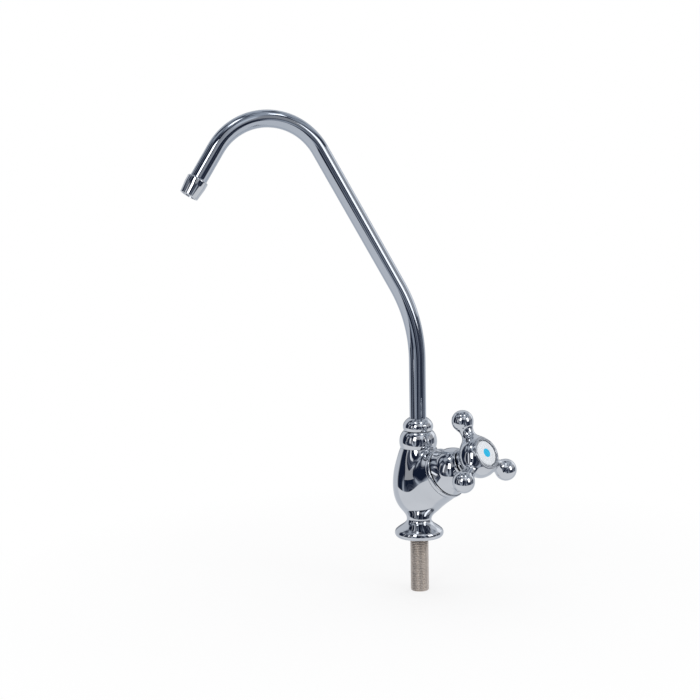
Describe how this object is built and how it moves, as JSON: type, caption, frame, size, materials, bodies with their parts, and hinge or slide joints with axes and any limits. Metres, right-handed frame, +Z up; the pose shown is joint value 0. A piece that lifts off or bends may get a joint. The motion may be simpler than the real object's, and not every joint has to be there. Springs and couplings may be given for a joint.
{
  "type": "drinking-water faucet",
  "caption": "Deck-mounted faucet with a swivelling gooseneck spout and an oblique quarter-turn valve with a tripod handle.",
  "frame": {"origin": "on the shank's axis, in the plane of the sink deck that the base gasket rests on", "axes": "+Z up along the shank and the riser of the spout, the spout's outlet towards -X, its arch in the XZ plane, the valve branch towards -Y and +X"},
  "size_m": [0.1873, 0.0761, 0.2877],
  "materials": {
    "faucet_body": "polished chrome plate on cast brass",
    "base_flange": "polished chrome plate",
    "base_gasket": "matt black rubber",
    "threaded_shank": "threaded, dull plated brass with a warm tint",
    "swivel_nut": "polished chrome plate",
    "swivel_washer": "white low-friction plastic",
    "valve_bonnet": "polished chrome plate",
    "cartridge_housing": "machined brass",
    "housing_o_ring": "black rubber",
    "cartridge_seal": "red silicone rubber",
    "fixed_ceramic_disc": "lapped white ceramic",
    "glide_washer": "white low-friction plastic",
    "spout_tube": "polished chrome plate",
    "spout_collar": "polished chrome plate",
    "spout_ferrule": "turned brass",
    "spout_o_rings": "black rubber",
    "outlet_nozzle": "polished chrome plate",
    "flow_straightener": "white moulded plastic",
    "nozzle_seal": "black rubber",
    "tripod_handle": "polished chrome plate on cast metal",
    "button_bezel": "polished chrome plate",
    "index_button": "glossy white plastic with a plain blue mark",
    "handle_screw": "plain steel screw",
    "spline_insert": "dark grey moulded plastic",
    "valve_spindle": "machined brass",
    "spindle_o_rings": "black rubber",
    "spindle_clip": "spring steel",
    "rotating_ceramic_disc": "lapped white ceramic"
  },
  "bodies": {
    "base": {"faucet_body": "faucet_body", "base_flange": "base_flange", "base_gasket": "base_gasket", "threaded_shank": "threaded_shank", "swivel_nut": "swivel_nut", "swivel_washer": "swivel_washer", "valve_bonnet": "valve_bonnet", "cartridge_housing": "cartridge_housing", "housing_o_ring": "housing_o_ring", "cartridge_seal": "cartridge_seal", "fixed_ceramic_disc": "fixed_ceramic_disc", "glide_washer": "glide_washer"},
    "spout": {"spout_tube": "spout_tube", "spout_collar": "spout_collar", "spout_ferrule": "spout_ferrule", "spout_o_rings": "spout_o_rings", "outlet_nozzle": "outlet_nozzle", "flow_straightener": "flow_straightener", "nozzle_seal": "nozzle_seal"},
    "handle": {"tripod_handle": "tripod_handle", "button_bezel": "button_bezel", "index_button": "index_button", "handle_screw": "handle_screw", "spline_insert": "spline_insert", "valve_spindle": "valve_spindle", "spindle_o_rings": "spindle_o_rings", "spindle_clip": "spindle_clip", "rotating_ceramic_disc": "rotating_ceramic_disc"}
  },
  "joints": [
    {"name": "spout_swivel", "type": "hinge", "parent": "base", "child": "spout", "pos_m": [0, 0, 0.06], "axis": [0, 0, 1], "continuous": true},
    {"name": "handle_turn", "type": "hinge", "parent": "base", "child": "handle", "pos_m": [0, 0, 0.0303], "axis": [0.4168, -0.7839, 0.4602], "range_deg": [0, 90]}
  ]
}
